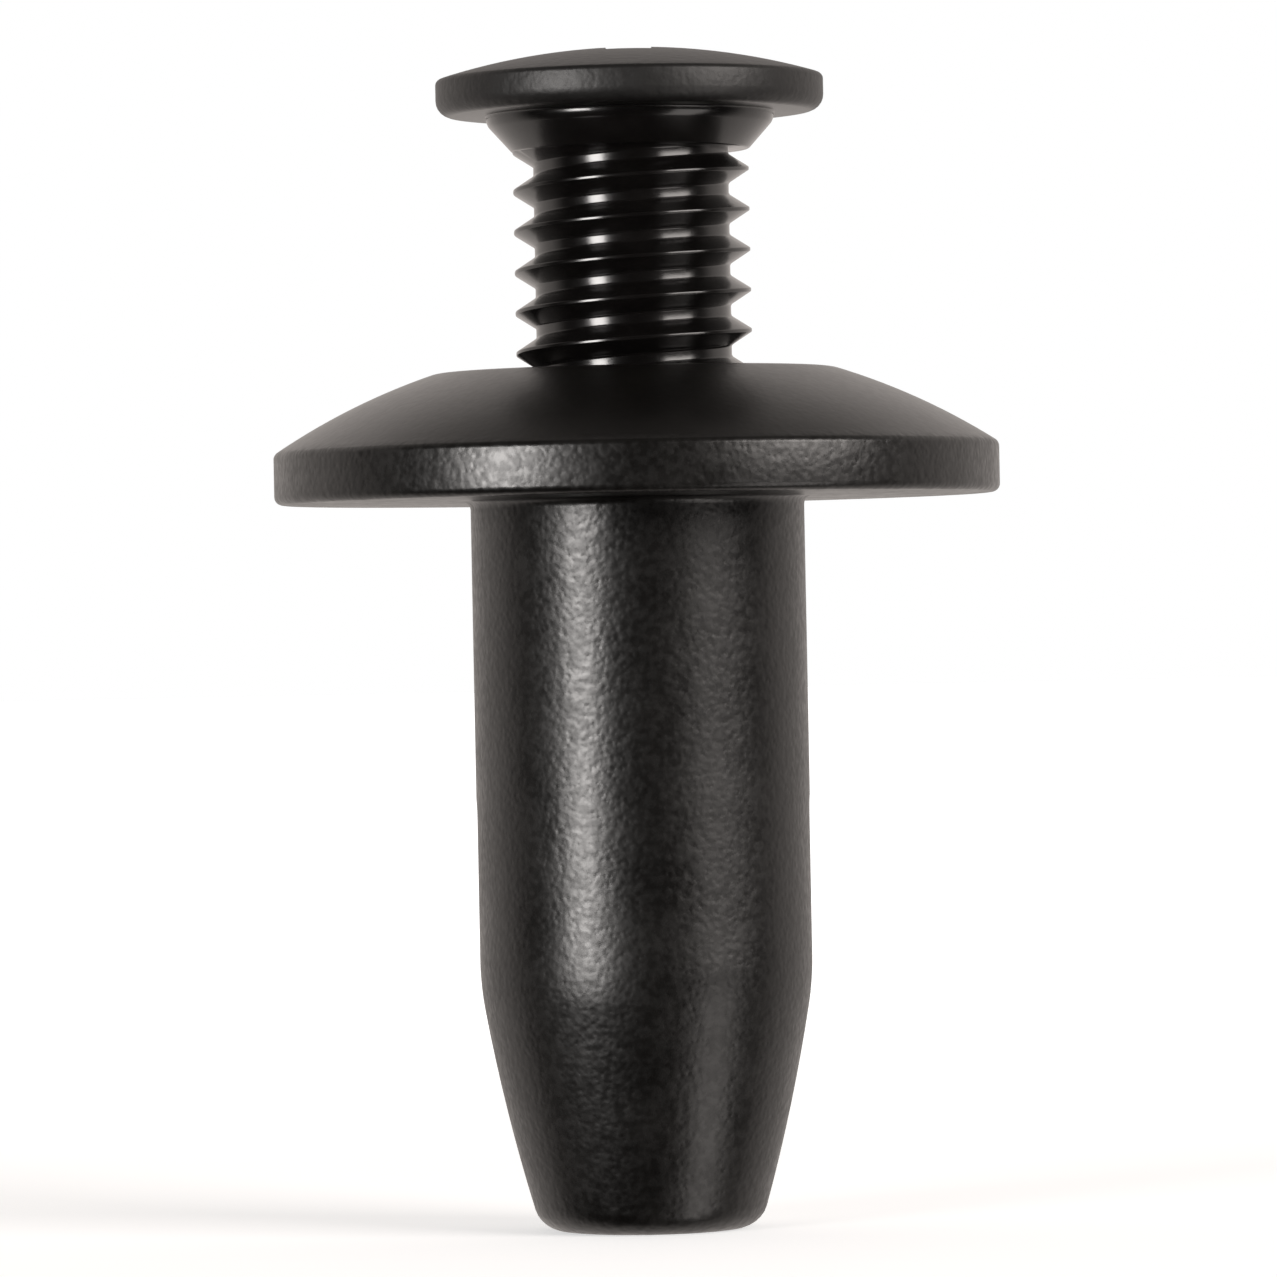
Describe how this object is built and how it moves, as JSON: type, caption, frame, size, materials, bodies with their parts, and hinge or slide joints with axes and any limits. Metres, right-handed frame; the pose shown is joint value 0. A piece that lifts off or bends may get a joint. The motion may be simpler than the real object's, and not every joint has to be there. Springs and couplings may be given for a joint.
{
  "type": "plastic push rivet",
  "caption": "Screw-type push rivet: a domed flange on a split barrel with a blunt nose, and a threaded pin that is pushed home to spread the legs.",
  "frame": {"origin": "middle of the nose's flat end, which the rivet stands on", "axes": "+Z along the rivet's axis, from the nose to the pin's head"},
  "size_m": [0.0174, 0.0174, 0.0283],
  "materials": {
    "body_nylon": "satin, fine spark-eroded grain",
    "pin_nylon": "smooth moulded thread, lightly grained head"
  },
  "bodies": {
    "sleeve": {"rivet_body": "body_nylon"},
    "pin": {"threaded_pin": "pin_nylon"}
  },
  "joints": [
    {"name": "pin_push", "type": "slide", "parent": "sleeve", "child": "pin", "axis": [0, 0, -1], "range_m": [0, 0.00615]}
  ]
}
